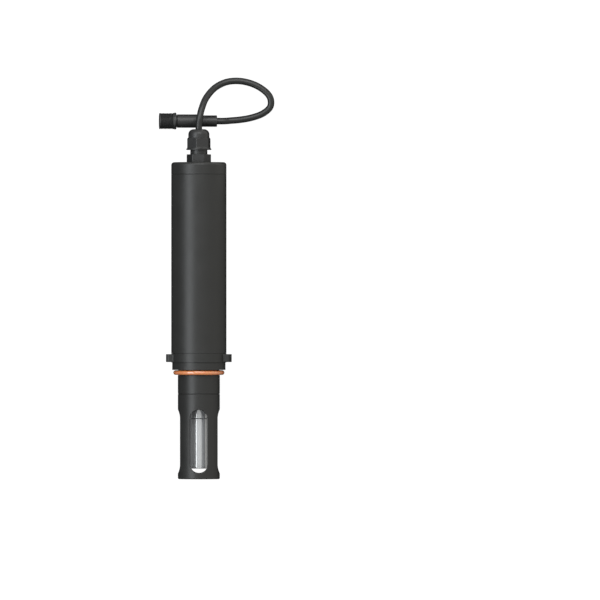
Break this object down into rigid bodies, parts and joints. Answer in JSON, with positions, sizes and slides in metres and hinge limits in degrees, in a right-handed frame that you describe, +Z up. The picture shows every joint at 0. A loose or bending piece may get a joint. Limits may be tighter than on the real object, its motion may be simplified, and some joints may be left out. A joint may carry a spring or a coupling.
{
  "type": "dissolved oxygen sensor",
  "caption": "Tube-shaped dissolved oxygen sensor with a slotted guard over a steel sensing cap, a bayonet ring, an orange face seal, a cable gland and a short cable with a round plug",
  "frame": {"origin": "on the ground under the middle of the sensor's length, from the guard's tip to the gland's dome, with the cable and plug left out", "axes": "+Y along the sensor's axis from the sensing tip to the cable gland, +Z up with the sensor lying on its side, +X to the side on which the cable loops"},
  "size_m": [0.0827, 0.2912, 0.0399],
  "materials": {
    "black_plastic": "machined acetal, satin",
    "black_nylon": "moulded nylon, fine matt",
    "steel": "turned stainless steel, fine polish",
    "orange_rubber": "moulded silicone, slight sheen",
    "black_rubber": "moulded rubber",
    "cable_jacket": "extruded jacket, satin",
    "board_laminate": "solder resist on glass laminate",
    "clear_optic": "polished optical plastic",
    "gold_plate": "gold plated contact"
  },
  "bodies": {
    "sensor": {"housing_tube": "black_plastic", "end_cap": "black_plastic", "bayonet_ring": "black_plastic", "probe_holder": "black_plastic", "probe_stem": "steel", "face_seal": "orange_rubber", "holder_seal": "black_rubber", "end_cap_seal": "black_rubber", "stem_seal": "black_rubber", "cap_seal": "black_rubber", "stem_nut": "steel", "light_guide": "clear_optic", "sensor_board": "board_laminate", "emitter": "clear_optic", "photodiode": "clear_optic", "probe_lead": "black_rubber", "lower_board_holder": "black_nylon", "upper_board_holder": "black_nylon", "circuit_board": "board_laminate", "processor_chip": "black_nylon", "terminal_block": "black_nylon", "core_1": "black_rubber", "core_2": "black_rubber", "core_3": "black_rubber", "core_4": "black_rubber", "cable_tail": "cable_jacket", "gland_body": "black_nylon", "gland_ring": "black_rubber", "gland_seal": "black_rubber", "gland_nut": "black_nylon", "cable": "cable_jacket", "plug_body": "black_nylon", "nut_clip": "steel", "plug_insert": "black_plastic", "contact_pin_1": "gold_plate", "contact_pin_2": "gold_plate", "contact_pin_3": "gold_plate", "contact_pin_4": "gold_plate"},
    "guard": {"guard": "black_plastic"},
    "sensing_cap": {"sensing_cap": "steel", "sensing_window": "clear_optic"},
    "coupling_nut": {"coupling_nut": "black_nylon"}
  },
  "joints": [
    {"name": "guard_off", "type": "slide", "parent": "sensor", "child": "guard", "axis": [0, -1, 0], "range_m": [0, 0.06]},
    {"name": "cap_off", "type": "slide", "parent": "sensor", "child": "sensing_cap", "axis": [0, -1, 0], "range_m": [0, 0.04]},
    {"name": "coupling_nut_turn", "type": "hinge", "parent": "sensor", "child": "coupling_nut", "pos_m": [0, 0.13285, 0.00497], "axis": [-0.9978, 0, 0.0656], "continuous": true}
  ]
}
